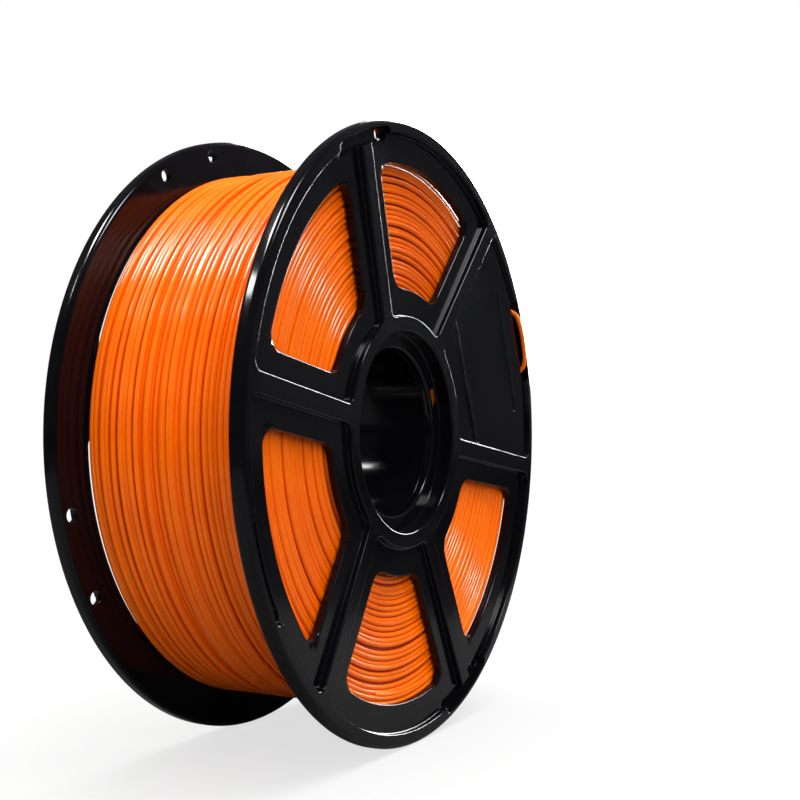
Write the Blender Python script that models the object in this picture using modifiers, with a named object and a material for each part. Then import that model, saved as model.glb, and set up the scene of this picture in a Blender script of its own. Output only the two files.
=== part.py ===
"""Filament spool: two moulded flanges on a barrel and a bore sleeve, full of 1.75 mm filament.

Units are metres and +Z is up. The spool stands on its two rims with its axis along X, the labelled
flange at +X, and the origin on the floor below its middle. Every turned piece is modelled round the
local Z axis of an empty, spool_axis, which lies along world X. Angles are measured from the top of
the spool towards +Y, and depths from the outer face of a flange inwards.
"""
import math

import bmesh
import bpy
from mathutils import Matrix, Vector

# Driving dimensions
SPOOL_RADIUS = 0.100
SPOOL_WIDTH = 0.068
FILAMENT_DIAMETER = 0.00175
PHASE = math.radians(-23)
GAP = 0.0003

# Flange section: radii, and depths below the outer face
RIM_THICKNESS = 0.005
RIM_EDGE = 0.0015
RIM_INNER_RADIUS = 0.0956
RIM_FLAT_RADIUS = 0.0945
RIB_FLAT_RADIUS = 0.0390
HUB_RING_RADIUS = 0.0380
HUB_RING_DEPTH = 0.0039
OPENING_RADIUS = 0.0330
OPENING_EDGE = 0.0006
LEDGE_DEPTH = 0.0092
LEDGE_THICKNESS = 0.0024
BORE_RADIUS = 0.0275
BORE_EDGE = 0.0010
COLLAR_RADIUS = 0.0368
SPIGOT_RADIUS = 0.0320
SPIGOT_LENGTH = 0.0040
INNER_FACE_HUB_DEPTH = 0.0080
INNER_FACE_HUB_RADIUS = 0.0405
INNER_FACE_RIM_RADIUS = 0.0970

# Pockets, windows and ribs
RIB_COUNT = 6
RIB_HALF_WIDTH = 0.0030
POCKET_DEPTH_AT_HUB = 0.0058
POCKET_DEPTH_AT_RIM = 0.0021
PANEL_POCKET_INDEX = 1
PANEL_RISE = 0.0009
WINDOW_INNER_RADIUS = 0.0470
WINDOW_OUTER_RADIUS = 0.0868
WINDOW_RIB_OFFSET = 0.0105
POCKET_CORNER = 0.0028
WINDOW_CORNER = 0.0055

# Strand holes and their grooves in the rim: each set is a pair of holes joined by a groove
FRONT_HOLE_SETS = tuple(math.radians(angle) for angle in (-23, 67, 157, -113))
REAR_HOLE_SETS = tuple(math.radians(angle) for angle in (-26, 67, 157, -113))
HOLE_RING_RADIUS = 0.0956
HOLE_RADIUS = 0.0021
HOLE_HALF_SPACING = math.radians(7.9)
GROOVE_HALF_ANGLE = math.radians(10)
GROOVE_INNER_RADIUS = 0.0936
GROOVE_OUTER_RADIUS = 0.0978
GROOVE_DEPTH = 0.0032

# Slot beside the bore, and the barrel behind it
SLOT_ANGLE = PHASE + math.radians(90)
SLOT_HALF_ANGLE = math.radians(7.5)
SLOT_INNER_RADIUS = 0.0292
SLOT_OUTER_RADIUS = 0.0374
BARREL_RADIUS = 0.0400
BARREL_WALL = 0.0028
ANCHOR_HOLE_RADIUS = 0.0022
ANCHOR_ANGLE = SLOT_ANGLE + math.radians(17)
ANCHOR_DEPTH = 0.0165
SLEEVE_RADIUS = 0.0298
SLEEVE_WALL = 0.0022

# Wound filament
WINDING_RADIUS = 0.0880

HALF_WIDTH = SPOOL_WIDTH / 2
TURNED_STEPS = 72
CUT_ABOVE = 0.001
MERGE = 0.00001


def clear_scene():
    for old in list(bpy.data.objects):
        bpy.data.objects.remove(old, do_unlink=True)


def make_collection(name):
    collection = bpy.data.collections.new(name)
    bpy.context.scene.collection.children.link(collection)
    return collection


def make_material(name, color, roughness):
    material = bpy.data.materials.new(name)
    material.use_nodes = True
    shader = material.node_tree.nodes["Principled BSDF"]
    shader.inputs["Base Color"].default_value = (*color, 1)
    shader.inputs["Roughness"].default_value = roughness
    shader.inputs["Metallic"].default_value = 0
    return material


def direction(angle):
    """Unit vector in the flange plane, for an angle from the top towards world +Y."""
    return Vector((-math.cos(angle), math.sin(angle), 0))


def at_depth(depth):
    """Height on the spool axis of a depth below the front flange's outer face."""
    return HALF_WIDTH - depth


def place(obj, collection, material=None):
    """Link an object into a collection and hang it on the spool axis."""
    for owner in list(obj.users_collection):
        owner.objects.unlink(obj)
    collection.objects.link(obj)
    obj.parent = spool_axis
    if material:
        obj.data.materials.clear()
        obj.data.materials.append(material)
        obj.data.shade_smooth()
        obj.data.set_sharp_from_angle(angle=math.radians(30))
    return obj


def make_cutter(obj):
    place(obj, cutters)
    obj.hide_render = True
    obj.display_type = "WIRE"
    return obj


def turned(name, profile):
    """A closed ring turned round local Z from a closed profile of (radius, height) points."""
    mesh = bpy.data.meshes.new(name)
    points = [(radius, 0, height) for radius, height in profile]
    count = len(points)
    mesh.from_pydata(points, [(i, (i + 1) % count) for i in range(count)], [])
    obj = bpy.data.objects.new(name, mesh)
    bpy.context.scene.collection.objects.link(obj)
    screw = obj.modifiers.new("turn", "SCREW")
    screw.steps = TURNED_STEPS
    screw.render_steps = TURNED_STEPS
    screw.use_merge_vertices = True
    screw.merge_threshold = MERGE
    return as_mesh(obj)


def as_mesh(obj):
    """Replace an object by a welded mesh of what its curve or modifiers make, facing outwards."""
    bpy.context.view_layer.update()
    evaluated = obj.evaluated_get(bpy.context.evaluated_depsgraph_get())
    mesh = bpy.data.meshes.new_from_object(evaluated)
    result = bpy.data.objects.new(obj.name + "_solid", mesh)
    bpy.context.scene.collection.objects.link(result)
    result.matrix_world = obj.matrix_world
    work = bmesh.new()
    work.from_mesh(mesh)
    bmesh.ops.remove_doubles(work, verts=work.verts, dist=MERGE)
    bmesh.ops.recalc_face_normals(work, faces=work.faces)
    work.to_mesh(mesh)
    work.free()
    name = obj.name
    bpy.data.objects.remove(obj, do_unlink=True)
    result.name = name
    return result


def boolean(obj, cutter, operation="DIFFERENCE"):
    modifier = obj.modifiers.new(cutter.name, "BOOLEAN")
    modifier.operation = operation
    modifier.object = cutter
    modifier.solver = "EXACT"


def joined(name, objects):
    """One cutter mesh from several separate bodies."""
    work = bmesh.new()
    for obj in objects:
        work.from_mesh(obj.data)
    mesh = bpy.data.meshes.new(name)
    work.to_mesh(mesh)
    work.free()
    for obj in objects:
        bpy.data.objects.remove(obj, do_unlink=True)
    result = bpy.data.objects.new(name, mesh)
    bpy.context.scene.collection.objects.link(result)
    return make_cutter(result)


def rounded_corner(centre, start, end, steps=3):
    """Points of a corner arc about a centre, from the start point to the end point."""
    first = start - centre
    last = end - centre
    return [centre + first.slerp(last, i / steps) * first.length for i in range(steps + 1)]


def corner_points(angle, side, offset, radius, corner, outer):
    """Corner between a line that runs beside the ray at an angle and a circle round the axis.

    The line keeps to one side of the ray, at an offset. It returns the arc from line to circle.
    """
    ray = direction(angle)
    across = direction(angle + side * math.pi / 2)
    reach = radius - corner if outer else radius + corner
    beside = offset + corner
    along = math.sqrt(reach ** 2 - beside ** 2)
    centre = ray * along + across * beside
    on_line = ray * along + across * offset
    on_circle = centre.normalized() * radius
    return rounded_corner(centre, on_line, on_circle)


def sector_outline(inner, outer, start, end, offset, corner):
    """Outline between two circles and two lines that run beside the rays at start and end."""
    left_out = corner_points(start, 1, offset, outer, corner, True)
    right_out = corner_points(end, -1, offset, outer, corner, True)
    right_in = corner_points(end, -1, offset, inner, corner, False)
    left_in = corner_points(start, 1, offset, inner, corner, False)
    points = list(left_out)
    points += arc_between(left_out[-1], right_out[-1])
    points += reversed(right_out)
    points += right_in
    points += arc_between(right_in[-1], left_in[-1])
    points += reversed(left_in)
    return points


def arc_between(first, last):
    """Points on a circle round the axis, strictly between two points of it."""
    steps = max(2, round(first.angle(last) / math.radians(5)))
    return [first.slerp(last, i / steps) * first.length for i in range(1, steps)]


def prism(name, outline, low, high):
    """A straight solid with the given outline, from one height to another."""
    curve = bpy.data.curves.new(name, "CURVE")
    curve.dimensions = "2D"
    curve.fill_mode = "BOTH"
    curve.extrude = (high - low) / 2
    spline = curve.splines.new("POLY")
    spline.points.add(len(outline) - 1)
    for point, place_at in zip(spline.points, outline):
        point.co = (place_at.x, place_at.y, 0, 1)
    spline.use_cyclic_u = True
    obj = bpy.data.objects.new(name, curve)
    bpy.context.scene.collection.objects.link(obj)
    solid = as_mesh(obj)
    solid.data.transform(Matrix.Translation((0, 0, (low + high) / 2)))
    return solid


def cylinder(name, centre, axis, radius, length):
    work = bmesh.new()
    bmesh.ops.create_cone(work, cap_ends=True, segments=16, radius1=radius, radius2=radius,
                          depth=length)
    turn = axis.to_track_quat("Z", "Y").to_matrix().to_4x4()
    work.transform(Matrix.Translation(centre) @ turn)
    mesh = bpy.data.meshes.new(name)
    work.to_mesh(mesh)
    work.free()
    obj = bpy.data.objects.new(name, mesh)
    bpy.context.scene.collection.objects.link(obj)
    return obj


def flange_profile():
    """Closed section of a flange, as (radius, depth) points, from the bore round to the bore."""
    back = LEDGE_DEPTH + LEDGE_THICKNESS
    return [
        (BORE_RADIUS, back),
        (BORE_RADIUS, LEDGE_DEPTH + BORE_EDGE),
        (BORE_RADIUS + BORE_EDGE, LEDGE_DEPTH),
        (OPENING_RADIUS, LEDGE_DEPTH),
        (OPENING_RADIUS, HUB_RING_DEPTH + OPENING_EDGE),
        (OPENING_RADIUS + OPENING_EDGE, HUB_RING_DEPTH),
        (RIB_FLAT_RADIUS, HUB_RING_DEPTH),
        (RIM_FLAT_RADIUS, 0),
        (SPOOL_RADIUS - RIM_EDGE, 0),
        (SPOOL_RADIUS, RIM_EDGE),
        (SPOOL_RADIUS, RIM_THICKNESS - RIM_EDGE),
        (SPOOL_RADIUS - RIM_EDGE, RIM_THICKNESS),
        (INNER_FACE_RIM_RADIUS, RIM_THICKNESS),
        (INNER_FACE_HUB_RADIUS, INNER_FACE_HUB_DEPTH),
        (COLLAR_RADIUS, INNER_FACE_HUB_DEPTH),
        (COLLAR_RADIUS, back),
        (SPIGOT_RADIUS, back),
        (SPIGOT_RADIUS, back + SPIGOT_LENGTH),
        (SLEEVE_RADIUS + GAP, back + SPIGOT_LENGTH),
        (SLEEVE_RADIUS + GAP, back),
    ]


def pocket_tool(name, indices, rise):
    """Cutter for the pockets between ribs, with floors that follow the dished web."""
    section = [
        (HUB_RING_RADIUS - CUT_ABOVE, at_depth(POCKET_DEPTH_AT_HUB - rise)),
        (RIM_INNER_RADIUS + CUT_ABOVE, at_depth(POCKET_DEPTH_AT_RIM - rise)),
        (RIM_INNER_RADIUS + CUT_ABOVE, at_depth(-CUT_ABOVE)),
        (HUB_RING_RADIUS - CUT_ABOVE, at_depth(-CUT_ABOVE)),
    ]
    ring = turned(name, section)
    outlines = joined(name + "_outlines", [
        prism("pocket_outline",
              sector_outline(HUB_RING_RADIUS, RIM_INNER_RADIUS, *rib_pair(index),
                             RIB_HALF_WIDTH, POCKET_CORNER),
              at_depth(LEDGE_DEPTH), at_depth(-2 * CUT_ABOVE))
        for index in indices])
    boolean(ring, outlines, "INTERSECT")
    return make_cutter(ring)


def rib_pair(index):
    """Angles of the two ribs on either side of a pocket."""
    step = 2 * math.pi / RIB_COUNT
    return PHASE + index * step, PHASE + (index + 1) * step


def window_tool():
    indices = [index for index in range(RIB_COUNT) if index != PANEL_POCKET_INDEX]
    return joined("window_cutter", [
        prism("window_outline",
              sector_outline(WINDOW_INNER_RADIUS, WINDOW_OUTER_RADIUS, *rib_pair(index),
                             WINDOW_RIB_OFFSET, WINDOW_CORNER),
              at_depth(LEDGE_DEPTH + CUT_ABOVE), at_depth(-CUT_ABOVE))
        for index in indices])


def hole_centre(angle, depth):
    return direction(angle) * HOLE_RING_RADIUS + Vector((0, 0, at_depth(depth)))


def hole_tool(sets):
    """Cutter for the pairs of strand holes through the rim."""
    return joined("hole_cutter", [
        cylinder("hole", hole_centre(angle + side * HOLE_HALF_SPACING, RIM_THICKNESS / 2),
                 Vector((0, 0, 1)), HOLE_RADIUS, 3 * RIM_THICKNESS)
        for angle in sets for side in (-1, 1)])


def groove_tool(sets):
    """Cutter for the grooves that join the two holes of each pair."""
    return joined("groove_cutter", [
        prism("groove_outline",
              sector_outline(GROOVE_INNER_RADIUS, GROOVE_OUTER_RADIUS,
                             angle - GROOVE_HALF_ANGLE, angle + GROOVE_HALF_ANGLE, 0, 0.0018),
              at_depth(GROOVE_DEPTH), at_depth(-CUT_ABOVE))
        for angle in sets])


def slot_tool():
    """Cutter for the slot beside the bore, through the ledge, the collar and the spigot."""
    outline = sector_outline(SLOT_INNER_RADIUS, SLOT_OUTER_RADIUS, SLOT_ANGLE - SLOT_HALF_ANGLE,
                             SLOT_ANGLE + SLOT_HALF_ANGLE, 0, 0.001)
    back = LEDGE_DEPTH + LEDGE_THICKNESS + SPIGOT_LENGTH + CUT_ABOVE
    return make_cutter(prism("slot_cutter", outline, at_depth(back), at_depth(LEDGE_DEPTH - 0.0004)))


def make_flange(name, hole_sets):
    """A flange that faces +Z, with its pockets, windows, holes, grooves and slot cut."""
    flange = turned(name, [(radius, at_depth(depth)) for radius, depth in flange_profile()])
    windowed = [index for index in range(RIB_COUNT) if index != PANEL_POCKET_INDEX]
    for tool in (pocket_tool("pocket_cutter", windowed, 0),
                 pocket_tool("panel_cutter", [PANEL_POCKET_INDEX], PANEL_RISE),
                 window_tool(), groove_tool(hole_sets), hole_tool(hole_sets), slot_tool()):
        boolean(flange, tool)
    return place(flange, spool, black_plastic)


def make_flanges():
    make_flange("front_flange", FRONT_HOLE_SETS)
    pattern = make_flange("rear_flange", REAR_HOLE_SETS)
    rear = as_mesh(pattern)
    rear.matrix_world = Matrix.Identity(4)
    rear.data.transform(Matrix.Diagonal((1, 1, -1, 1)))
    rear.data.flip_normals()
    place(rear, spool, black_plastic)


def make_barrel():
    """The drum between the flanges that the filament is wound on, with its anchor hole."""
    end = at_depth(INNER_FACE_HUB_DEPTH + GAP)
    inner = BARREL_RADIUS - BARREL_WALL
    barrel = turned("hub_barrel", [(BARREL_RADIUS, end), (BARREL_RADIUS, -end),
                                   (inner, -end), (inner, end)])
    middle = direction(ANCHOR_ANGLE) * (BARREL_RADIUS - BARREL_WALL / 2)
    hole = cylinder("anchor_hole", middle + Vector((0, 0, at_depth(ANCHOR_DEPTH))),
                    direction(ANCHOR_ANGLE), ANCHOR_HOLE_RADIUS, 3 * BARREL_WALL)
    boolean(barrel, make_cutter(hole))
    place(barrel, spool, black_plastic)


def make_sleeve():
    """The tube round the spindle, held by the spigots on the two flanges."""
    end = at_depth(LEDGE_DEPTH + LEDGE_THICKNESS + GAP)
    inner = SLEEVE_RADIUS - SLEEVE_WALL
    sleeve = turned("bore_sleeve", [(SLEEVE_RADIUS, end), (SLEEVE_RADIUS, -end),
                                    (inner, -end), (inner, end)])
    place(sleeve, spool, black_plastic)


def winding_side_depth(radius):
    """Depth of the wound package's side, just inside the dished face of the flange."""
    slope = ((INNER_FACE_HUB_DEPTH - RIM_THICKNESS)
             / (INNER_FACE_RIM_RADIUS - INNER_FACE_HUB_RADIUS))
    return INNER_FACE_HUB_DEPTH - slope * (radius - INNER_FACE_HUB_RADIUS) + GAP


def make_winding():
    inner = BARREL_RADIUS + GAP
    side_in = at_depth(winding_side_depth(inner) + GAP)
    side_out = at_depth(winding_side_depth(WINDING_RADIUS) + GAP)
    edge = FILAMENT_DIAMETER / 2
    winding = turned("filament_winding", [
        (inner, side_in), (WINDING_RADIUS - edge, side_out), (WINDING_RADIUS, side_out - edge),
        (WINDING_RADIUS, edge - side_out), (WINDING_RADIUS - edge, -side_out), (inner, -side_in)])
    place(winding, spool, orange_filament)


def smooth_route(stations, per_span=4):
    """Points of a smooth curve through (radius, angle in degrees, depth) stations."""
    knots = [direction(math.radians(angle)) * radius + Vector((0, 0, at_depth(depth)))
             for radius, angle, depth in stations]
    padded = [2 * knots[0] - knots[1], *knots, 2 * knots[-1] - knots[-2]]
    points = []
    for before, start, end, after in zip(padded, padded[1:], padded[2:], padded[3:]):
        for step in range(per_span):
            t = step / per_span
            points.append(0.5 * (2 * start + (end - before) * t
                                 + (2 * before - 5 * start + 4 * end - after) * t ** 2
                                 + (3 * start - before - 3 * end + after) * t ** 3))
    return points + [knots[-1]]


def strand(name, stations):
    """A length of filament along a route."""
    points = smooth_route(stations)
    curve = bpy.data.curves.new(name, "CURVE")
    curve.dimensions = "3D"
    curve.bevel_depth = FILAMENT_DIAMETER / 2
    curve.bevel_resolution = 2
    curve.use_fill_caps = True
    spline = curve.splines.new("POLY")
    spline.points.add(len(points) - 1)
    for point, position in zip(spline.points, points):
        point.co = (*position, 1)
    obj = bpy.data.objects.new(name, curve)
    bpy.context.scene.collection.objects.link(obj)
    place(as_mesh(obj), spool, orange_filament)


# Routes of the two ends of the filament: (radius, angle in degrees, depth below the front face)
TAIL_ROUTE = [
    (0.0894, 22.0, 0.0107), (0.0897, 30.0, 0.0102), (0.0907, 38.0, 0.0096), (0.0923, 46.0, 0.0091),
    (0.0941, 53.0, 0.0084), (0.0953, 57.1, 0.0073), (0.0956, 58.9, 0.0050), (0.0956, 59.4, 0.0030),
    (0.0957, 60.8, 0.0007), (0.0958, 64.0, -0.0001), (0.0960, 68.0, -0.0001),
    (0.0959, 71.4, 0.0001), (0.0957, 73.3, 0.0010), (0.0956, 74.6, 0.0032), (0.0956, 75.1, 0.0054),
    (0.0955, 76.0, 0.0082),
]
START_ROUTE = [
    (0.0393, 84.2, 0.0166), (0.0376, 83.6, 0.0163), (0.0361, 82.0, 0.0157), (0.0352, 79.0, 0.0146),
    (0.0347, 75.5, 0.0134), (0.0343, 72.0, 0.0122), (0.0340, 68.5, 0.0113), (0.0338, 65.0, 0.0108),
    (0.0337, 61.8, 0.0107),
]

clear_scene()
spool = make_collection("filament_spool")
cutters = make_collection("cutters")
spool_axis = bpy.data.objects.new("spool_axis", None)
spool.objects.link(spool_axis)
spool_axis.location = (0, 0, SPOOL_RADIUS)
spool_axis.rotation_euler = (0, math.radians(90), 0)
black_plastic = make_material("black_plastic", (0.012, 0.012, 0.014), 0.22)
orange_filament = make_material("orange_filament", (0.95, 0.22, 0.005), 0.3)

make_flanges()
make_barrel()
make_sleeve()
make_winding()
strand("filament_tail", TAIL_ROUTE)
strand("filament_start", START_ROUTE)
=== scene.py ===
import math
import random

import bmesh
import bpy
import numpy as np
from mathutils import Matrix, Vector
from mathutils.geometry import delaunay_2d_cdt


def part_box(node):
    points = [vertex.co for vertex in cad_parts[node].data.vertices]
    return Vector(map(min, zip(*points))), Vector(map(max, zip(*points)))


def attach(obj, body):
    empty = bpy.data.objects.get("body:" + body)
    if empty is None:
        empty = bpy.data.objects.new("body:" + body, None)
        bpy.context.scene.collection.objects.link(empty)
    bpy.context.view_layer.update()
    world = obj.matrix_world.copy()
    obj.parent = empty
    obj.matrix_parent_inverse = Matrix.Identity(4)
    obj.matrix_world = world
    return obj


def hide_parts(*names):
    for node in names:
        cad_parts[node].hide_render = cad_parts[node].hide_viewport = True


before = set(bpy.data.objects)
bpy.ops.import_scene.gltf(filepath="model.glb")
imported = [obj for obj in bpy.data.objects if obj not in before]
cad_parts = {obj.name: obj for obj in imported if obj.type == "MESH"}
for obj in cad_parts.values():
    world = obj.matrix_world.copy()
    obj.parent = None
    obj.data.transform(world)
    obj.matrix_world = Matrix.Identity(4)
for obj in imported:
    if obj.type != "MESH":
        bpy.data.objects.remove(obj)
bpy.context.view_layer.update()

# Sizes read from the frame
FLANGE_LOW, FLANGE_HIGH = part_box("front_flange")
HALF_WIDTH = FLANGE_HIGH.x
SPOOL_RADIUS = (FLANGE_HIGH.z - FLANGE_LOW.z) / 2
AXIS_HEIGHT = (FLANGE_HIGH.z + FLANGE_LOW.z) / 2
WINDING_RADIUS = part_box("filament_winding")[1].y
SLEEVE_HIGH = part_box("bore_sleeve")[1]
BARREL_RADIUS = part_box("hub_barrel")[1].y

# Flange section, as in the CAD model
PHASE = math.radians(-23)
RIM_THICKNESS = 0.0050
RIM_ROUNDING = 0.0016
RIM_INNER_RADIUS = 0.0956
RIM_FLAT_RADIUS = 0.0945
HUB_RING_RADIUS = 0.0380
HUB_RING_DEPTH = 0.0039
RIB_FLAT_RADIUS = 0.0390
OPENING_RADIUS = 0.0330
OPENING_ROUNDING = 0.0007
LEDGE_DEPTH = 0.0092
LEDGE_BACK = 0.0116
LEDGE_FOOT = 0.0004
BORE_RADIUS = 0.0275
BORE_ROUNDING = 0.0010
COLLAR_RADIUS = 0.0368
INNER_FACE_HUB_DEPTH = 0.0080
INNER_FACE_HUB_RADIUS = 0.0405
INNER_FACE_RIM_RADIUS = 0.0970
RIB_COUNT = 6
RIB_HALF_WIDTH = 0.0030
POCKET_SLOPE = 0.0621
POCKET_DEPTH_AT_RIM = 0.00216
PANEL_POCKET = 1
PANEL_RISE = 0.0009
POCKET_CORNER = 0.0028
WINDOW_INNER_RADIUS = 0.0470
WINDOW_OUTER_RADIUS = 0.0868
WINDOW_RIB_OFFSET = 0.0105
WINDOW_CORNER = 0.0055
LABEL_INNER = 0.0480
LABEL_OUTER = 0.0830
LABEL_HALF_WIDTH = 0.0245
LABEL_CORNER = 0.0020
LABEL_STEP = 0.00025
FRONT_HOLE_SETS = tuple(math.radians(angle) for angle in (-23, 67, 157, -113))
REAR_HOLE_SETS = tuple(math.radians(angle) for angle in (-26, 67, 157, -113))
HOLE_RING_RADIUS = 0.0956
HOLE_RADIUS = 0.0021
HOLE_HALF_SPACING = math.radians(7.9)
GROOVE_HALF_ANGLE = math.radians(10)
GROOVE_INNER_RADIUS = 0.0936
GROOVE_OUTER_RADIUS = 0.0978
GROOVE_CORNER = 0.0018
GROOVE_DEPTH = 0.0032
SLOT_ANGLE = PHASE + math.radians(90)
SLOT_HALF_ANGLE = math.radians(7.5)
SLOT_RADII = (0.0292, 0.0321)
SLOT_BACK_RADII = (0.0292, 0.0358)
SLOT_CORNER = 0.0010
SLOT_ROUNDING = 0.0002
EDGE_ROUNDING = 0.00045
FOOT_ROUNDING = 0.00035
WALL_DRAFT = 0.00010
GROOVE_ROUNDING = 0.00030
LABEL_ROUNDING = 0.00010

# Mesh fineness
ROUND_STEPS = 240
FILLET_STEPS = 4
CORNER_STEPS = 8
ARC_STEP = math.radians(1.5)
GRID_SPACING = 0.0030
GRID_CLEARANCE = 0.0008
WELD = 1e-6

# Wound filament
FILAMENT_RADIUS = 0.000875
FRONT_GAP = 0.00030
REAR_GAP = 0.00078
END_TURNS = 1.1
END_DIVE = 0.0016
END_DIVE_TURNS = 0.15
OUTER_PITCH = 0.00212
OUTER_WANDER = 0.0018
UNDER_LAYER_DROP = 0.0014
UNDER_PITCH = 0.00184
UNDER_WANDER = 0.0002
SIDE_PITCH = 0.00172
SIDE_WANDER = 0.00050
SIDE_WAVE = 0.0003
SIDE_SINK = 0.00040
CORE_DROP = 0.0032
CORE_SIDE_DROP = 0.0022
BARREL_CLEARANCE = 0.0003
FIRST_TURN_CLEARANCE = 0.0010
SLEEVE_LINING = 0.0001
SLEEVE_ROUNDING = 0.0003


# ---------------------------------------------------------------------------------------------
# Helpers
# ---------------------------------------------------------------------------------------------

def finish_piece(name, mesh, material, slot, *nodes):
    """Make an object of a mesh, ride it on the spool and let it stand for CAD nodes."""
    piece = bpy.data.objects.new(name, mesh)
    bpy.context.scene.collection.objects.link(piece)
    mesh.materials.clear()
    mesh.materials.append(material)
    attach(piece, "root")
    if nodes:
        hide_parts(*nodes)
    return piece


def mesh_from(name, vertices, faces, weld=True):
    mesh = bpy.data.meshes.new(name)
    mesh.from_pydata(vertices, [], faces)
    if weld:
        work = bmesh.new()
        work.from_mesh(mesh)
        bmesh.ops.remove_doubles(work, verts=work.verts, dist=WELD)
        work.to_mesh(mesh)
        work.free()
    mesh.shade_smooth()
    return mesh


def even_normals(piece):
    """Let the large faces set the shading beside the small rounded edges."""
    weighted = piece.modifiers.new("even normals", "WEIGHTED_NORMAL")
    weighted.mode = "FACE_AREA"
    weighted.weight = 100
    weighted.keep_sharp = False


def on_ray(angle, radius):
    return np.array((math.sin(angle), math.cos(angle))) * radius


def across_ray(angle):
    """Unit vector square to the ray, towards growing angles."""
    return np.array((math.cos(angle), -math.sin(angle)))


def smooth_between(before, start, end, after, share):
    """A point between start and end on the smooth curve through four points."""
    return 0.5 * (2 * start + (end - before) * share
                  + (2 * before - 5 * start + 4 * end - after) * share ** 2
                  + (3 * start - before - 3 * end + after) * share ** 3)


def ring_mesh(name, section):
    """A closed section of (radius, place along the axis) points, turned round the axis."""
    vertices = []
    faces = []
    count = len(section)
    for step in range(ROUND_STEPS):
        y, z = on_ray(2 * math.pi * step / ROUND_STEPS, 1)
        vertices += [(along, y * radius, AXIS_HEIGHT + z * radius) for radius, along in section]
        here = step * count
        there = (step + 1) % ROUND_STEPS * count
        for i in range(count):
            j = (i + 1) % count
            faces.append((here + i, here + j, there + j, there + i))
    return mesh_from(name, vertices, faces)


# ---------------------------------------------------------------------------------------------
# Flat shapes: a distance inside the outline, and the outline moved inwards by a distance
# ---------------------------------------------------------------------------------------------

def rounded_min(first, second, corner):
    both_near = (first < corner) & (second < corner)
    rounded = corner - np.hypot(corner - first, corner - second)
    return np.where(both_near, rounded, np.minimum(first, second))


class Sector:
    """Area between two circles and two lines that run beside two rays, with round corners."""

    def __init__(self, inner, outer, start, end, offset, corner):
        self.inner = inner
        self.outer = outer
        self.start = start
        self.end = end
        self.offset = offset
        self.corner = corner

    def distance(self, points):
        radius = np.hypot(points[:, 0], points[:, 1])
        from_start = points @ across_ray(self.start) - self.offset
        from_end = -(points @ across_ray(self.end)) - self.offset
        inside = [rounded_min(side, round_side, self.corner)
                  for side in (from_start, from_end)
                  for round_side in (radius - self.inner, self.outer - radius)]
        return np.minimum.reduce(inside)

    def corner_arc(self, angle, side, inset, outer):
        """Arc of a corner, from its straight side to its round side, moved inwards by an inset."""
        reach = self.outer - self.corner if outer else self.inner + self.corner
        beside = self.offset + self.corner
        along = math.sqrt(reach ** 2 - beside ** 2)
        centre = on_ray(angle, along) + side * across_ray(angle) * beside
        to_line = -side * across_ray(angle)
        to_circle = centre / np.linalg.norm(centre) * (1 if outer else -1)
        opening = math.acos(np.clip(to_line @ to_circle, -1, 1))
        arc = []
        for step in range(CORNER_STEPS + 1):
            share = step / CORNER_STEPS
            mix = (to_line * math.sin((1 - share) * opening) + to_circle * math.sin(share * opening))
            arc.append(centre + mix / math.sin(opening) * (self.corner - inset))
        return arc

    def outline(self, inset):
        start_out = self.corner_arc(self.start, 1, inset, True)
        end_out = self.corner_arc(self.end, -1, inset, True)
        end_in = self.corner_arc(self.end, -1, inset, False)
        start_in = self.corner_arc(self.start, 1, inset, False)
        points = start_out + round_between(start_out[-1], end_out[-1]) + end_out[::-1]
        points += straight_between(end_out[0], end_in[0]) + end_in
        points += round_between(end_in[-1], start_in[-1]) + start_in[::-1]
        points += straight_between(start_in[0], start_out[0])
        return points


def round_between(first, last):
    """Points on the circle round the axis, strictly between two of its points."""
    from_angle = math.atan2(first[0], first[1])
    sweep = (math.atan2(last[0], last[1]) - from_angle + math.pi) % (2 * math.pi) - math.pi
    steps = max(2, round(abs(sweep) / ARC_STEP))
    radius = np.linalg.norm(first)
    return [on_ray(from_angle + sweep * i / steps, radius) for i in range(1, steps)]


def straight_between(first, last, steps=10):
    return [first + (last - first) * i / steps for i in range(1, steps)]


class Label:
    """Rectangle with round corners, square to the ray at an angle."""

    def __init__(self, angle, inner, outer, half_width, corner):
        self.along = on_ray(angle, 1)
        self.across = across_ray(angle)
        self.middle = (inner + outer) / 2
        self.half_length = (outer - inner) / 2
        self.half_width = half_width
        self.corner = corner

    def distance(self, points):
        from_end = self.half_length - np.abs(points @ self.along - self.middle)
        from_side = self.half_width - np.abs(points @ self.across)
        return rounded_min(from_end, from_side, self.corner)

    def outline(self, inset):
        points = []
        radius = self.corner - inset
        for quarter, (end, side) in enumerate(((1, 1), (-1, 1), (-1, -1), (1, -1))):
            centre = (self.along * (self.middle + end * (self.half_length - self.corner))
                      + self.across * side * (self.half_width - self.corner))
            for step in range(CORNER_STEPS + 1):
                turn = (quarter + step / CORNER_STEPS) * math.pi / 2
                points.append(centre + radius * (self.along * math.cos(turn)
                                                 + self.across * math.sin(turn)))
        return points


class Disc:
    def __init__(self, centre, radius, steps=28):
        self.centre = centre
        self.radius = radius
        self.steps = steps

    def distance(self, points):
        return self.radius - np.linalg.norm(points - self.centre, axis=1)

    def outline(self, inset):
        turns = [2 * math.pi * i / self.steps for i in range(self.steps)]
        return [self.centre + on_ray(turn, self.radius - inset) for turn in turns]


# ---------------------------------------------------------------------------------------------
# Features cut into a face: how deep the face gets, and the outlines where it bends
# ---------------------------------------------------------------------------------------------

FILLET_SHARES = [math.sin(math.pi / 2 * i / FILLET_STEPS) for i in range(FILLET_STEPS + 1)]


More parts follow.
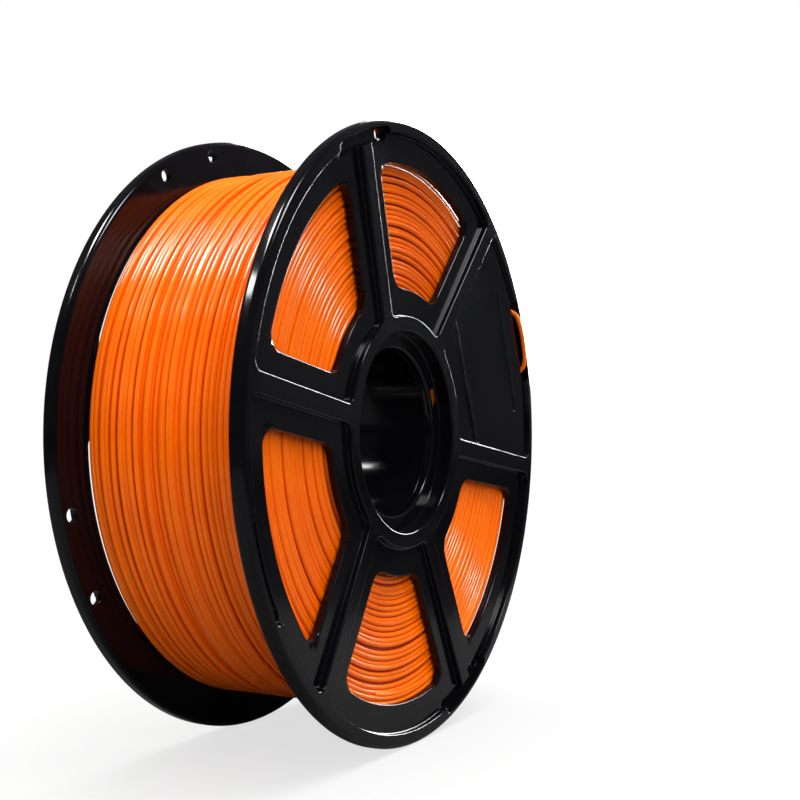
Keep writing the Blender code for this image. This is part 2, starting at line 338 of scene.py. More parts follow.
class Recess:
    """A shape sunk to a floor, with a rounded edge, a steep wall and a rounded foot."""

    def __init__(self, shape, floor, edge, foot, draft=WALL_DRAFT):
        self.shape = shape
        self.floor = floor
        self.edge = edge
        self.foot = foot
        self.draft = draft

    def insets(self):
        edge = [-self.edge + self.edge * share for share in FILLET_SHARES]
        foot = [self.draft + self.foot * (1 - share) for share in FILLET_SHARES[::-1]]
        return [-1.5 * self.edge, *edge, *foot, self.draft + 2 * self.foot]

    def sink(self, points, depth):
        inside = self.shape.distance(points)
        floor = self.floor(points, depth)
        room = np.maximum(floor - depth, 0)
        scale = np.minimum(1, room / (self.edge + self.foot))
        edge = self.edge * scale
        foot = self.foot * scale
        top_share = np.clip((inside + self.edge) / self.edge, 0, 1)
        top = depth + edge * (1 - np.sqrt(1 - top_share ** 2))
        low_share = 1 - np.clip((inside - self.draft) / self.foot, 0, 1)
        low = floor - foot * (1 - np.sqrt(1 - low_share ** 2))
        wall_share = np.clip(inside / self.draft, 0, 1)
        wall = (depth + edge) * (1 - wall_share) + (floor - foot) * wall_share
        sunk = np.where(inside <= 0, top, np.where(inside < self.draft, wall, low))
        return np.where(floor > depth, sunk, depth)


class Opening:
    """A shape cut right through, with a rounded edge that turns down into its wall."""

    def __init__(self, shape, edge, inwards=1, rim=None):
        self.shape = shape
        self.edge = edge
        self.inwards = inwards
        self.rim = rim or shape.outline(0)

    def insets(self):
        """Outlines round the rim, which is the outline at 0."""
        return [-1.5 * self.edge] + [-self.edge + self.edge * share for share in FILLET_SHARES[:-1]]

    def sink(self, points, depth):
        share = np.clip((self.shape.distance(points) + self.edge) / self.edge, 0, 1)
        return depth + self.inwards * self.edge * (1 - np.sqrt(1 - share ** 2))


class Shell:
    """Vertices and faces of one flange, in (y, z, depth), before it is put on its side."""

    def __init__(self):
        self.vertices = []
        self.faces = []

    def add_vertices(self, points, depths):
        base = len(self.vertices)
        self.vertices.extend((y, z, depth) for (y, z), depth in zip(points, depths))
        return base

    def strip(self, first, first_depths, second, second_depths):
        """Faces between two outlines with the same number of points."""
        a = self.add_vertices(first, first_depths)
        b = self.add_vertices(second, second_depths)
        count = len(first)
        for i in range(count):
            j = (i + 1) % count
            self.faces.append((a + i, a + j, b + j, b + i))

    def turned(self, section):
        """Faces round the axis through a section of (radius, depth) points."""
        for (r1, d1), (r2, d2) in zip(section, section[1:]):
            self.strip(circle(r1), [d1] * ROUND_STEPS, circle(r2), [d2] * ROUND_STEPS)

    def face(self, inner, outer, features, depth_at, facing_out):
        """A face between two circles, with features cut into it.

        The triangulation may add points to the rim of an opening, so the rim is read back.
        """
        cut = [feature for feature in features if isinstance(feature, Opening)]
        borders = [circle(outer), circle(inner)] + [opening.rim for opening in cut]
        loops = borders + [feature.shape.outline(inset)
                           for feature in features for inset in feature.insets()]
        points = []
        edges = []
        starts = []
        for loop in loops:
            base = len(points)
            starts.append(base)
            points += loop
            edges += [(base + i, base + (i + 1) % len(loop)) for i in range(len(loop))]
        points += grid_points(inner, outer, features)
        areas = [anticlockwise(loop, start) for loop, start in zip(borders, starts)]
        found, _, triangles, origins, _, sources = delaunay_2d_cdt(
            [Vector(p) for p in points], edges, areas, 0, 1e-8)
        flat = np.array([tuple(p) for p in found])
        kept = [triangle for triangle, inside in zip(triangles, sources) if list(inside) == [0]]
        steps = {(a, b) for i, j, k in kept for a, b in ((i, j), (j, k), (k, i))}
        following = {a: b for a, b in steps if (b, a) not in steps}
        found_number = {number: i for i, numbers in enumerate(origins) for number in numbers}
        for opening, start in zip(cut, starts[2:]):
            opening.rim = [flat[i] for i in walk(following, found_number[start])]
        depths = depth_at(flat)
        for feature in features:
            depths = feature.sink(flat, depths)
        base = self.add_vertices(flat, depths)
        for triangle in kept:
            ordered = triangle if facing_out else triangle[::-1]
            self.faces.append(tuple(base + i for i in ordered))

    def wall(self, feature, front_depths, back_feature, back_depths):
        """The wall of an opening, from the edge on one face to the edge on the other."""
        front = np.array(feature.rim)
        back = np.array(back_feature.rim)
        start = feature.sink(front, front_depths(front))
        end = back_feature.sink(back, back_depths(back))
        self.strip(front, start, back, end)

    def mesh(self, name, side):
        vertices = [(side * (HALF_WIDTH - depth), y, AXIS_HEIGHT + z)
                    for y, z, depth in self.vertices]
        mesh = mesh_from(name, vertices, self.faces)
        work = bmesh.new()
        work.from_mesh(mesh)
        loose = [vertex for vertex in work.verts if not vertex.link_faces]
        bmesh.ops.delete(work, geom=loose, context="VERTS")
        bmesh.ops.recalc_face_normals(work, faces=work.faces)
        work.to_mesh(mesh)
        work.free()
        mesh.shade_smooth()
        return mesh


def anticlockwise(loop, start):
    """Numbers of a loop's points, counted from a start, in anticlockwise order."""
    y, z = np.array(loop).T
    area = y @ np.roll(z, -1) - z @ np.roll(y, -1)
    numbers = list(range(start, start + len(loop)))
    return numbers if area > 0 else numbers[::-1]


def walk(following, start):
    """Numbers round a closed border, from a start back to it."""
    path = [start]
    while following[path[-1]] != start:
        path.append(following[path[-1]])
    return path


def circle(radius):
    return [on_ray(2 * math.pi * i / ROUND_STEPS, radius) for i in range(ROUND_STEPS)]


def grid_points(inner, outer, features):
    """Extra points over a face, so that its slope is shaded evenly, clear of every feature."""
    points = []
    rings = max(1, round((outer - inner) / GRID_SPACING))
    for ring in range(1, rings):
        radius = inner + (outer - inner) * ring / rings
        steps = max(24, round(2 * math.pi * radius / GRID_SPACING))
        points += [on_ray(2 * math.pi * (i + ring % 2 / 2) / steps, radius) for i in range(steps)]
    if not points:
        return points
    flat = np.array(points)
    clear = np.ones(len(flat), bool)
    for feature in features:
        inside = feature.shape.distance(flat)
        insets = feature.insets()
        if isinstance(feature, Opening):
            clear &= inside < insets[0] - GRID_CLEARANCE
        else:
            near = (inside > insets[0] - GRID_CLEARANCE) & (inside < insets[-1] + GRID_CLEARANCE)
            clear &= ~near
    return list(flat[clear])


# ---------------------------------------------------------------------------------------------
# Flanges
# ---------------------------------------------------------------------------------------------

def land_depth(points):
    """Depth of the rim, the rib tops and the hub ring."""
    radius = np.hypot(points[:, 0], points[:, 1])
    share = np.clip((RIM_FLAT_RADIUS - radius) / (RIM_FLAT_RADIUS - RIB_FLAT_RADIUS), 0, 1)
    return HUB_RING_DEPTH * share


def pocket_floor(rise):
    def floor(points, depth):
        radius = np.hypot(points[:, 0], points[:, 1])
        return POCKET_DEPTH_AT_RIM - rise + (RIM_INNER_RADIUS - radius) * POCKET_SLOPE
    return floor


def level_floor(level):
    return lambda points, depth: np.full(len(points), level)


def step_floor(step):
    return lambda points, depth: depth + step


def inner_face_depth(points):
    radius = np.hypot(points[:, 0], points[:, 1])
    share = np.clip((INNER_FACE_RIM_RADIUS - radius)
                    / (INNER_FACE_RIM_RADIUS - INNER_FACE_HUB_RADIUS), 0, 1)
    return RIM_THICKNESS + (INNER_FACE_HUB_DEPTH - RIM_THICKNESS) * share


def ledge_depth(points):
    return np.full(len(points), LEDGE_DEPTH)


def ledge_back_depth(points):
    return np.full(len(points), LEDGE_BACK)


def rib_pair(index):
    step = 2 * math.pi / RIB_COUNT
    return PHASE + index * step, PHASE + (index + 1) * step


def flange_features(set_angles):
    """Recesses of the outer face, and the openings through the flange."""
    pockets = []
    windows = []
    for index in range(RIB_COUNT):
        rise = PANEL_RISE if index == PANEL_POCKET else 0
        pocket = Sector(HUB_RING_RADIUS, RIM_INNER_RADIUS, *rib_pair(index), RIB_HALF_WIDTH,
                        POCKET_CORNER)
        pockets.append(Recess(pocket, pocket_floor(rise), EDGE_ROUNDING, FOOT_ROUNDING))
        if index != PANEL_POCKET:
            windows.append(Sector(WINDOW_INNER_RADIUS, WINDOW_OUTER_RADIUS, *rib_pair(index),
                                  WINDOW_RIB_OFFSET, WINDOW_CORNER))
    panel_angle = sum(rib_pair(PANEL_POCKET)) / 2
    label = Recess(Label(panel_angle, LABEL_INNER, LABEL_OUTER, LABEL_HALF_WIDTH, LABEL_CORNER),
                   step_floor(LABEL_STEP), LABEL_ROUNDING, LABEL_ROUNDING)
    grooves = [Recess(Sector(GROOVE_INNER_RADIUS, GROOVE_OUTER_RADIUS, angle - GROOVE_HALF_ANGLE,
                             angle + GROOVE_HALF_ANGLE, 0, GROOVE_CORNER),
                      level_floor(GROOVE_DEPTH), GROOVE_ROUNDING, GROOVE_ROUNDING)
               for angle in set_angles]
    holes = [Disc(on_ray(angle + side * HOLE_HALF_SPACING, HOLE_RING_RADIUS), HOLE_RADIUS)
             for angle in set_angles for side in (-1, 1)]
    return pockets + [label] + grooves, windows, holes


def quarter_round(centre_radius, centre_depth, size, start, end, steps=8):
    """Section points on an arc; the angle is 0 outwards and 90 degrees towards growing depth."""
    points = []
    for step in range(steps + 1):
        turn = math.radians(start + (end - start) * step / steps)
        points.append((centre_radius + size * math.cos(turn), centre_depth + size * math.sin(turn)))
    return points


def flange_shell(set_angles):
    shell = Shell()
    recesses, windows, holes = flange_features(set_angles)
    through = [Opening(window, EDGE_ROUNDING) for window in windows]
    through += [Opening(hole, GROOVE_ROUNDING / 2) for hole in holes]
    rim = SPOOL_RADIUS - RIM_ROUNDING
    hub = OPENING_RADIUS + OPENING_ROUNDING

    def outer_depth(points):
        depth = land_depth(points)
        for recess in recesses:
            depth = recess.sink(points, depth)
        return depth

    shell.face(hub, rim, recesses + through, land_depth, True)
    behind = [Opening(item.shape, item.edge, -1, item.rim) for item in through]
    shell.face(COLLAR_RADIUS, rim, behind, inner_face_depth, False)
    for front, back in zip(through, behind):
        shell.wall(front, outer_depth, back, inner_face_depth)

    slot = Sector(*SLOT_RADII, SLOT_ANGLE - SLOT_HALF_ANGLE, SLOT_ANGLE + SLOT_HALF_ANGLE, 0,
                  SLOT_CORNER)
    slot_back = Sector(*SLOT_BACK_RADII, SLOT_ANGLE - SLOT_HALF_ANGLE,
                       SLOT_ANGLE + SLOT_HALF_ANGLE, 0, SLOT_CORNER)
    slot_front_edge = Opening(slot, SLOT_ROUNDING)
    slot_back_edge = Opening(slot_back, SLOT_ROUNDING, -1)
    ledge_outer = OPENING_RADIUS - LEDGE_FOOT
    shell.face(BORE_RADIUS + BORE_ROUNDING, ledge_outer, [slot_front_edge], ledge_depth, True)
    shell.face(BORE_RADIUS, COLLAR_RADIUS, [slot_back_edge], ledge_back_depth, False)
    shell.wall(slot_front_edge, ledge_depth, slot_back_edge, ledge_back_depth)

    shell.turned(quarter_round(rim, RIM_ROUNDING, RIM_ROUNDING, -90, 0))
    shell.turned([(SPOOL_RADIUS, RIM_ROUNDING), (SPOOL_RADIUS, RIM_THICKNESS - RIM_ROUNDING)])
    shell.turned(quarter_round(rim, RIM_THICKNESS - RIM_ROUNDING, RIM_ROUNDING, 0, 90))
    shell.turned(quarter_round(hub, HUB_RING_DEPTH + OPENING_ROUNDING, OPENING_ROUNDING, -90, -180, 6)
                 + quarter_round(ledge_outer, LEDGE_DEPTH - LEDGE_FOOT, LEDGE_FOOT, 0, 90, 4))
    shell.turned(quarter_round(BORE_RADIUS + BORE_ROUNDING, LEDGE_DEPTH + BORE_ROUNDING,
                               BORE_ROUNDING, -90, -180, 6) + [(BORE_RADIUS, LEDGE_BACK)])
    shell.turned([(COLLAR_RADIUS, LEDGE_BACK), (COLLAR_RADIUS, INNER_FACE_HUB_DEPTH)])
    return shell


def make_flanges():
    for name, side, set_angles in (("front_flange", 1, FRONT_HOLE_SETS),
                                   ("rear_flange", -1, REAR_HOLE_SETS)):
        mesh = flange_shell(set_angles).mesh(name + "_moulded", side)
        piece = finish_piece(name + "_moulded", mesh, black_plastic, "black_plastic", name)
        even_normals(piece)


# ---------------------------------------------------------------------------------------------
# Barrel and sleeve
# ---------------------------------------------------------------------------------------------

def tube_mesh(name, outer, inner, half_length, rounding):
    """A tube round the axis with rounded ends."""
    section = []
    corners = ((outer - rounding, half_length - rounding, 0, 90),
               (inner + rounding, half_length - rounding, 90, 180),
               (inner + rounding, rounding - half_length, 180, 270),
               (outer - rounding, rounding - half_length, 270, 360))
    for radius, along, start, end in corners:
        section += quarter_round(radius, along, rounding, start, end, 4)
    return ring_mesh(name, section)


def make_hub():
    sleeve = tube_mesh("bore_sleeve_moulded", SLEEVE_HIGH.y, BORE_RADIUS + SLEEVE_LINING,
                       SLEEVE_HIGH.x, SLEEVE_ROUNDING)
    piece = finish_piece("bore_sleeve_moulded", sleeve, black_plastic, "black_plastic",
                         "bore_sleeve")
    even_normals(piece)
    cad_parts["hub_barrel"].data.materials.clear()
    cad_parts["hub_barrel"].data.materials.append(black_plastic)


# ---------------------------------------------------------------------------------------------
# Filament
# ---------------------------------------------------------------------------------------------

def smooth_noise(random_source, knots, positions):
    """Random values joined by smooth curves, at positions counted in knots."""
    values = np.array([random_source.uniform(-1, 1) for _ in range(knots + 4)])
    base = np.floor(positions).astype(int)
    part = positions - base
    before, start, end, after = (values[np.clip(base + i, 0, knots + 3)] for i in range(4))
    return smooth_between(before, start, end, after, part)


def wound_mesh(name, angles, radii, along, sides):
    """A strand that runs round the axis, as a closed tube with flat ends."""
    ring = 2 * np.pi * np.arange(sides) / sides
    out = radii[:, None] + FILAMENT_RADIUS * np.cos(ring)[None, :]
    x = along[:, None] + FILAMENT_RADIUS * np.sin(ring)[None, :]
    y = out * np.sin(angles)[:, None]
    z = AXIS_HEIGHT + out * np.cos(angles)[:, None]
    vertices = np.stack((x, y, z), axis=-1).reshape(-1, 3)
    count = len(angles)
    here = np.arange(count - 1)[:, None] * sides + np.arange(sides)[None, :]
    beside = np.arange(count - 1)[:, None] * sides + (np.arange(sides) + 1)[None, :] % sides
    quads = np.stack((here, here + sides, beside + sides, beside), axis=-1).reshape(-1, 4)
    faces = quads.tolist()
    faces.append(list(range(sides)))
    faces.append(list(range((count - 1) * sides, count * sides))[::-1])
    return mesh_from(name, vertices.tolist(), faces, weld=False)


def side_depth(radius):
    """Depth of the flange's inner face at a radius from the axis."""
    share = np.clip((INNER_FACE_RIM_RADIUS - radius)
                    / (INNER_FACE_RIM_RADIUS - INNER_FACE_HUB_RADIUS), 0, 1)
    return RIM_THICKNESS + (INNER_FACE_HUB_DEPTH - RIM_THICKNESS) * share


def unsteady(source, turns, turn_count, knots_per_turn):
    """Smooth random values along a strand, between about -1 and 1."""
    return smooth_noise(source, int(turns * knots_per_turn) + 2, turn_count * knots_per_turn)


def layer_strand(name, seed, radius, pitch, wander, sides, steps_per_turn):
    """One layer of turns side by side, from one flange to the other; its ends dive under."""
    source = random.Random(seed)
    wall = HALF_WIDTH - float(side_depth(radius)) - FILAMENT_RADIUS
    front = wall - FRONT_GAP
    rear = wall - REAR_GAP
    turns = (front + rear) / pitch + 2 * END_TURNS
    angles = np.linspace(0, 2 * np.pi * turns, int(turns * steps_per_turn))
    turn_count = angles / (2 * np.pi)
    slow = unsteady(source, turns, turn_count, 1.3)
    quick = unsteady(source, turns, turn_count, 3.7)
    along = pitch * (turn_count - END_TURNS) - rear + wander * (0.75 * slow + 0.25 * quick)
    lift = unsteady(source, turns, turn_count, 2.1)
    from_end = np.minimum(turn_count, turns - turn_count)
    dive = END_DIVE * np.clip(1 - from_end / END_DIVE_TURNS, 0, 1)
    radii = np.minimum(radius + wander * 0.8 * (lift - 0.5), radius) - dive
    return wound_mesh(name, angles, radii, np.clip(along, -rear, front), sides)


def side_strand(name, seed, side, gap, sides=10, steps_per_turn=150):
    """The last turn of every layer, as seen through the windows of one flange."""
    source = random.Random(seed)
    inner = BARREL_RADIUS + FIRST_TURN_CLEARANCE
    outer = WINDING_RADIUS - FILAMENT_RADIUS
    turns = (outer - inner) / SIDE_PITCH + END_TURNS
    angles = np.linspace(0, 2 * np.pi * turns, int(turns * steps_per_turn))
    turn_count = angles / (2 * np.pi)
    wave = np.zeros(len(angles))
    for cycles in (2, 3, 5, 8):
        phase = source.uniform(0, 2 * math.pi)
        drift = source.uniform(-0.6, 0.6)
        wave += np.sin(cycles * angles + phase + drift * turn_count) / cycles
    single = unsteady(source, turns, turn_count, 3.1)
    radii = inner + SIDE_PITCH * turn_count + SIDE_WANDER * single + SIDE_WAVE * wave
    radii = np.clip(radii, inner, outer)
    sunk = SIDE_SINK * (1 + unsteady(source, turns, turn_count, 2.7)) * (radii < outer)
    depth = side_depth(radii) + gap + FILAMENT_RADIUS + sunk
    return wound_mesh(name, angles, radii, side * (HALF_WIDTH - depth), sides)


def make_core():
    """The solid inside of the winding, seen only between strands; its filament colour is a darkened
    copy of the orange, painted shade for the gaps between strands.
    """
    corners = [(radius, HALF_WIDTH - float(side_depth(radius)) - CORE_SIDE_DROP)
               for radius in (WINDING_RADIUS - CORE_DROP, BARREL_RADIUS + BARREL_CLEARANCE)]
    section = corners + [(radius, -along) for radius, along in corners[::-1]]
    core = ring_mesh("winding_core", section)
    core.set_sharp_from_angle(angle=math.radians(30))
    finish_piece("winding_core", core, painted_shade_filament, "orange_filament")


def make_winding():
    make_core()
    top = WINDING_RADIUS - FILAMENT_RADIUS
    under = layer_strand("winding_under_layer", 5, top - UNDER_LAYER_DROP, UNDER_PITCH,
                         UNDER_WANDER, sides=8, steps_per_turn=120)
    finish_piece("winding_under_layer", under, orange_filament, "orange_filament")
    outer = layer_strand("winding_outer_layer", 11, top, OUTER_PITCH, OUTER_WANDER,
                         sides=12, steps_per_turn=180)
    finish_piece("winding_outer_layer", outer, orange_filament, "orange_filament",
                 "filament_winding")
    for name, seed, side, gap in (("winding_front_side", 21, 1, FRONT_GAP),
                                  ("winding_rear_side", 33, -1, REAR_GAP)):
        mesh = side_strand(name, seed, side, gap)
        finish_piece(name, mesh, orange_filament, "orange_filament")


def smooth_route(stations, per_span):
    """Points of a smooth curve through (radius, angle in degrees, depth) stations."""
    knots = []
    for radius, angle, depth in stations:
        y, z = on_ray(math.radians(angle), radius)
        knots.append(Vector((HALF_WIDTH - depth, y, AXIS_HEIGHT + z)))
    padded = [2 * knots[0] - knots[1], *knots, 2 * knots[-1] - knots[-2]]
    points = []
    for before, start, end, after in zip(padded, padded[1:], padded[2:], padded[3:]):
        points += [smooth_between(before, start, end, after, step / per_span)
                   for step in range(per_span)]
    return points + [knots[-1]]


def strand_mesh(name, points):
    """A round strand along points, with flat ends."""
    curve = bpy.data.curves.new(name, "CURVE")
    curve.dimensions = "3D"
    curve.bevel_depth = FILAMENT_RADIUS
    curve.bevel_resolution = 6
    curve.use_fill_caps = True
    spline = curve.splines.new("POLY")
    spline.points.add(len(points) - 1)
    for point, position in zip(spline.points, points):
        point.co = (*position, 1)
    holder = bpy.data.objects.new(name + "_curve", curve)
    bpy.context.scene.collection.objects.link(holder)
    bpy.context.view_layer.update()
    evaluated = holder.evaluated_get(bpy.context.evaluated_depsgraph_get())
    mesh = bpy.data.meshes.new_from_object(evaluated)
    bpy.data.objects.remove(holder, do_unlink=True)
    work = bmesh.new()
    work.from_mesh(mesh)
    bmesh.ops.remove_doubles(work, verts=work.verts, dist=WELD)
    bmesh.ops.recalc_face_normals(work, faces=work.faces)
    work.to_mesh(mesh)
    work.free()
    mesh.shade_smooth()
    mesh.set_sharp_from_angle(angle=math.radians(50))
    return mesh


# Routes of the two ends of the filament, as in the CAD model: (radius, angle, depth)
TAIL_ROUTE = [
    (0.0894, 22.0, 0.0107), (0.0897, 30.0, 0.0102), (0.0907, 38.0, 0.0096), (0.0923, 46.0, 0.0091),
    (0.0941, 53.0, 0.0084), (0.0953, 57.1, 0.0073), (0.0956, 58.9, 0.0050), (0.0956, 59.4, 0.0030),
    (0.0957, 60.8, 0.0007), (0.0958, 64.0, -0.0001), (0.0960, 68.0, -0.0001),
    (0.0959, 71.4, 0.0001), (0.0957, 73.3, 0.0010), (0.0956, 74.6, 0.0032), (0.0956, 75.1, 0.0054),
    (0.0955, 76.0, 0.0082),
]
START_ROUTE = [
    (0.0393, 84.2, 0.0166), (0.0376, 83.6, 0.0163), (0.0361, 82.0, 0.0157), (0.0352, 79.0, 0.0146),
    (0.0347, 75.5, 0.0134), (0.0343, 72.0, 0.0122), (0.0340, 68.5, 0.0113), (0.0338, 65.0, 0.0108),
    (0.0337, 61.8, 0.0107),
]


def make_strand_ends():
    for node, route in (("filament_tail", TAIL_ROUTE), ("filament_start", START_ROUTE)):
        mesh = strand_mesh(node + "_strand", smooth_route(route, 10))
        finish_piece(node + "_strand", mesh, orange_filament, "orange_filament", node)


# ---------------------------------------------------------------------------------------------
# Materials
# ---------------------------------------------------------------------------------------------

def new_material(name):
    material = bpy.data.materials.new(name)
    material.use_nodes = True
    nodes = material.node_tree.nodes
    return material, nodes, material.node_tree.links, nodes["Principled BSDF"]


def mapped_noise(nodes, links, scale, detail):
    coordinates = nodes.new("ShaderNodeTexCoord")
    noise = nodes.new("ShaderNodeTexNoise")
    noise.inputs["Scale"].default_value = scale
    noise.inputs["Detail"].default_value = detail
    links.new(coordinates.outputs["Object"], noise.inputs["Vector"])
    return noise


def ranged(nodes, links, source, low, high):
    """Map the middle of a 0 to 1 value's range to values from low to high."""
    spread = nodes.new("ShaderNodeMapRange")
    spread.inputs["From Min"].default_value = 0.3
    spread.inputs["From Max"].default_value = 0.7
    spread.inputs["To Min"].default_value = low
    spread.inputs["To Max"].default_value = high
    links.new(source, spread.inputs["Value"])
    return spread.outputs["Result"]


def coloured(nodes, links, source, low_color, high_color):
    ramp = nodes.new("ShaderNodeValToRGB")
    ramp.color_ramp.elements[0].position = 0.35
    ramp.color_ramp.elements[0].color = (*low_color, 1)
    ramp.color_ramp.elements[1].position = 0.65
    ramp.color_ramp.elements[1].color = (*high_color, 1)
    links.new(source, ramp.inputs["Fac"])
    return ramp.outputs["Color"]


def bumped(nodes, links, shader, source, strength, distance):
    bump = nodes.new("ShaderNodeBump")
    bump.inputs["Strength"].default_value = strength
    bump.inputs["Distance"].default_value = distance
    links.new(source, bump.inputs["Height"])
    links.new(bump.outputs["Normal"], shader.inputs["Normal"])


def make_black_plastic():
    """Glossy moulded polystyrene, with faint flow marks and a slightly uneven gloss."""
    material, nodes, links, shader = new_material("black_plastic")
    flow = mapped_noise(nodes, links, 45, 3)
    grain = mapped_noise(nodes, links, 2600, 2)
    links.new(coloured(nodes, links, flow.outputs["Fac"], (0.0016, 0.0016, 0.0026),
                       (0.0028, 0.0028, 0.0040)), shader.inputs["Base Color"])
    links.new(ranged(nodes, links, flow.outputs["Fac"], 0.10, 0.15), shader.inputs["Roughness"])
    bumped(nodes, links, shader, grain.outputs["Fac"], 0.01, 0.00002)
    shader.inputs["Specular IOR Level"].default_value = 0.22
    return material


def make_filament(name, low_color, high_color, low_rough, high_rough):
    """Glossy extruded thermoplastic: colour and gloss drift slightly, and the surface ripples."""
    material, nodes, links, shader = new_material(name)
    drift = mapped_noise(nodes, links, 60, 2)
    ripple = mapped_noise(nodes, links, 900, 2)
    links.new(coloured(nodes, links, drift.outputs["Fac"], low_color, high_color),
              shader.inputs["Base Color"])
    links.new(ranged(nodes, links, drift.outputs["Fac"], low_rough, high_rough),
              shader.inputs["Roughness"])
    bumped(nodes, links, shader, ripple.outputs["Fac"], 0.08, 0.00006)
    shader.inputs["Specular IOR Level"].default_value = 0.35
    return material


# ---------------------------------------------------------------------------------------------
# Stage, lights and camera
# ---------------------------------------------------------------------------------------------

FLOOR_SIZE = 60.0
FLOOR_FADE = (0.25, 0.75)
FLOOR_LIFT = (0.70, 1.0)
NEAR_FLOOR = (0.15, 0.15, 0.15)
FAR_FLOOR = (0.03, 0.03, 0.03)
BACKDROP_STRENGTH = 1.0
FILL_STRENGTH = 0.50
REFLECTED_ROOM_STRENGTH = 0.11
WHITE = (1, 1, 1)
SOFT_WHITE = (1, 0.98, 0.94)
WARM_WHITE = (1, 0.97, 0.92)
# Lamps, as (name, place, size, power, colour). Each one lights surfaces or shows in reflections.
SURFACE_LAMPS = [
    ("overhead_fill", (0.20, 0.20, 1.6), (1.6, 1.6), 56, WHITE),
    ("left_fill", (-0.8, -0.3, 1.3), (1.2, 1.2), 8, SOFT_WHITE),
    ("front_left_fill", (-1.0, -1.5, 0.2), (1.4, 1.4), 11, WHITE),
    ("front_right_fill", (1.3, -1.1, 0.9), (1.2, 1.2), 17, WHITE),
]
REFLECTED_LAMPS = [
    ("streak_lamp", (-0.375, -0.57, 1.43), (0.70, 0.30), 45, WARM_WHITE),
    ("rim_lamp", (-0.78, -0.80, 1.06), (0.15, 0.15), 4, SOFT_WHITE),
    ("right_strip", (1.0, -0.05, 1.45), (0.35, 0.5), 20, WHITE),
    ("back_softbox", (-0.20, 1.6, 0.80), (1.0, 1.2), 150, WHITE),
]
CAMERA_PLACE = (0.2085, -0.3472, 0.0935)
CAMERA_YAW = math.radians(-27.74)
CAMERA_PITCH = math.radians(2.44)
CAMERA_ROLL = math.radians(0.39)
CAMERA_LENS = 53.69
CAMERA_SHIFT = 0.00125


def make_floor():
    """A dark grey floor that glows white for camera rays only: pale in view, dim in reflections."""
    mesh = bpy.data.meshes.new("studio_floor")
    half = FLOOR_SIZE / 2
    mesh.from_pydata([(-half, -half, 0), (half, -half, 0), (half, half, 0), (-half, half, 0)], [],
                     [(0, 1, 2, 3)])
    material, nodes, links, shader = new_material("studio_floor")
    place = nodes.new("ShaderNodeNewGeometry")
    distance = nodes.new("ShaderNodeVectorMath")
    distance.operation = "LENGTH"
    links.new(place.outputs["Position"], distance.inputs[0])
    far = nodes.new("ShaderNodeMapRange")
    far.interpolation_type = "SMOOTHSTEP"
    far.inputs["From Min"].default_value, far.inputs["From Max"].default_value = FLOOR_FADE
    links.new(distance.outputs["Value"], far.inputs["Value"])
    links.new(coloured(nodes, links, far.outputs["Result"], NEAR_FLOOR, FAR_FLOOR),
              shader.inputs["Base Color"])
    shader.inputs["Roughness"].default_value = 0.7
    shader.inputs["Specular IOR Level"].default_value = 0.0
    path = nodes.new("ShaderNodeLightPath")
    lift = nodes.new("ShaderNodeMath")
    lift.operation = "MULTIPLY"
    links.new(path.outputs["Is Camera Ray"], lift.inputs[0])
    links.new(ranged(nodes, links, far.outputs["Result"], *FLOOR_LIFT), lift.inputs[1])
    links.new(lift.outputs["Value"], shader.inputs["Emission Strength"])
    shader.inputs["Emission Color"].default_value = (1, 1, 1, 1)
    mesh.materials.append(material)
    floor = bpy.data.objects.new("studio_floor", mesh)
    bpy.context.scene.collection.objects.link(floor)


def make_world():
    """A white backdrop for the camera, soft fill light, and a dim room in the reflections."""
    world = bpy.data.worlds.new("studio")
    bpy.context.scene.world = world
    world.use_nodes = True
    nodes = world.node_tree.nodes
    links = world.node_tree.links
    path = nodes.new("ShaderNodeLightPath")
    shown = nodes["Background"]
    shown.inputs["Color"].default_value = (1, 1, 1, 1)
    shown.inputs["Strength"].default_value = FILL_STRENGTH
    for ray, strength, color in (("Is Glossy Ray", REFLECTED_ROOM_STRENGTH, (0.9, 0.93, 1, 1)),
                                 ("Is Camera Ray", BACKDROP_STRENGTH, (1, 1, 1, 1))):
        background = nodes.new("ShaderNodeBackground")
        background.inputs["Color"].default_value = color
        background.inputs["Strength"].default_value = strength
        mix = nodes.new("ShaderNodeMixShader")
        links.new(path.outputs[ray], mix.inputs["Fac"])
        links.new(shown.outputs[0], mix.inputs[1])
        links.new(background.outputs["Background"], mix.inputs[2])
        shown = mix
    links.new(shown.outputs[0], nodes["World Output"].inputs["Surface"])


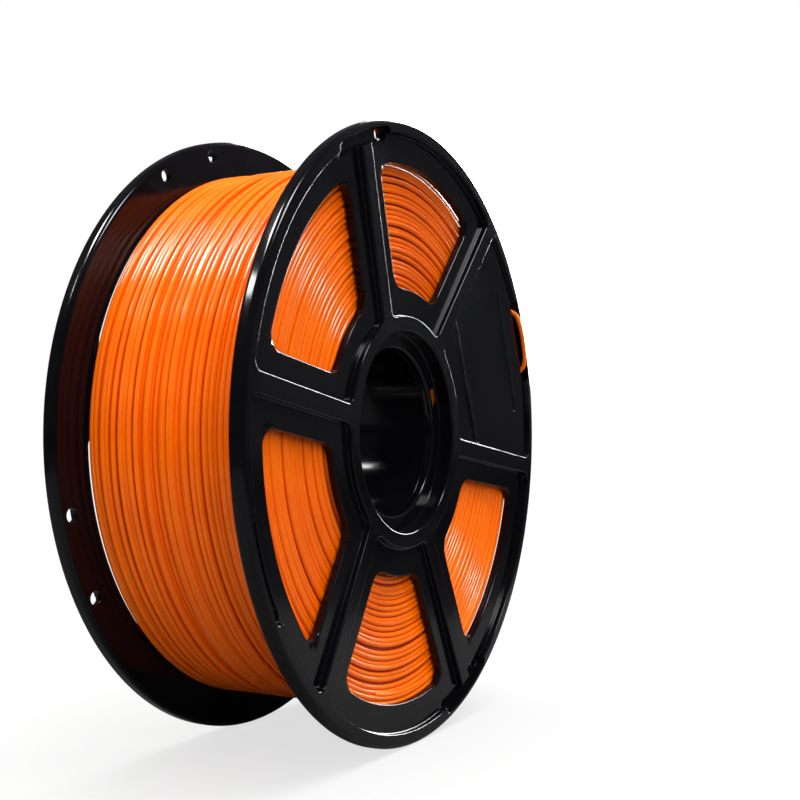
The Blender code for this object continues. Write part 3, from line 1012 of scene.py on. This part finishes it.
def make_area_light(name, place, size, power, color, reflected):
    """A softbox aimed at the spool, which only shows in reflections or only lights surfaces."""
    light = bpy.data.lights.new(name, "AREA")
    light.shape = "RECTANGLE"
    light.size, light.size_y = size
    light.energy = power
    light.color = color
    lamp = bpy.data.objects.new(name, light)
    aim = Vector((0, 0, AXIS_HEIGHT)) - Vector(place)
    lamp.matrix_world = Matrix.Translation(place) @ aim.to_track_quat("-Z", "Y").to_matrix().to_4x4()
    lamp.visible_camera = False
    lamp.visible_diffuse = not reflected
    lamp.visible_glossy = reflected
    bpy.context.scene.collection.objects.link(lamp)


def make_lights():
    for lamp in SURFACE_LAMPS:
        make_area_light(*lamp, reflected=False)
    for lamp in REFLECTED_LAMPS:
        make_area_light(*lamp, reflected=True)


def make_camera():
    look = Vector((math.sin(CAMERA_YAW) * math.cos(CAMERA_PITCH),
                   math.cos(CAMERA_YAW) * math.cos(CAMERA_PITCH), math.sin(CAMERA_PITCH)))
    level_right = look.cross(Vector((0, 0, 1))).normalized()
    level_up = level_right.cross(look)
    right = level_right * math.cos(CAMERA_ROLL) + level_up * math.sin(CAMERA_ROLL)
    up = level_up * math.cos(CAMERA_ROLL) - level_right * math.sin(CAMERA_ROLL)
    turn = Matrix((right, up, -look)).transposed().to_4x4()
    data = bpy.data.cameras.new("photo_camera")
    data.lens = CAMERA_LENS
    data.sensor_width = 36
    data.shift_x = CAMERA_SHIFT
    data.shift_y = CAMERA_SHIFT
    camera = bpy.data.objects.new("photo_camera", data)
    camera.matrix_world = Matrix.Translation(CAMERA_PLACE) @ turn
    bpy.context.scene.collection.objects.link(camera)
    bpy.context.scene.camera = camera


black_plastic = make_black_plastic()
orange_filament = make_filament("orange_filament", (0.94, 0.142, 0.0006), (0.99, 0.165, 0.0010),
                                0.13, 0.18)
# A darker copy of the orange filament for the winding's core: painted shade in the gaps between
# strands.
painted_shade_filament = make_filament("painted_shade_filament", (0.40, 0.035, 0.0005), (0.50, 0.045, 0.0008),
                              0.35, 0.5)
make_camera()
make_flanges()
make_hub()
make_winding()
make_strand_ends()
make_floor()
make_world()
make_lights()
bpy.context.scene.view_settings.view_transform = "Standard"
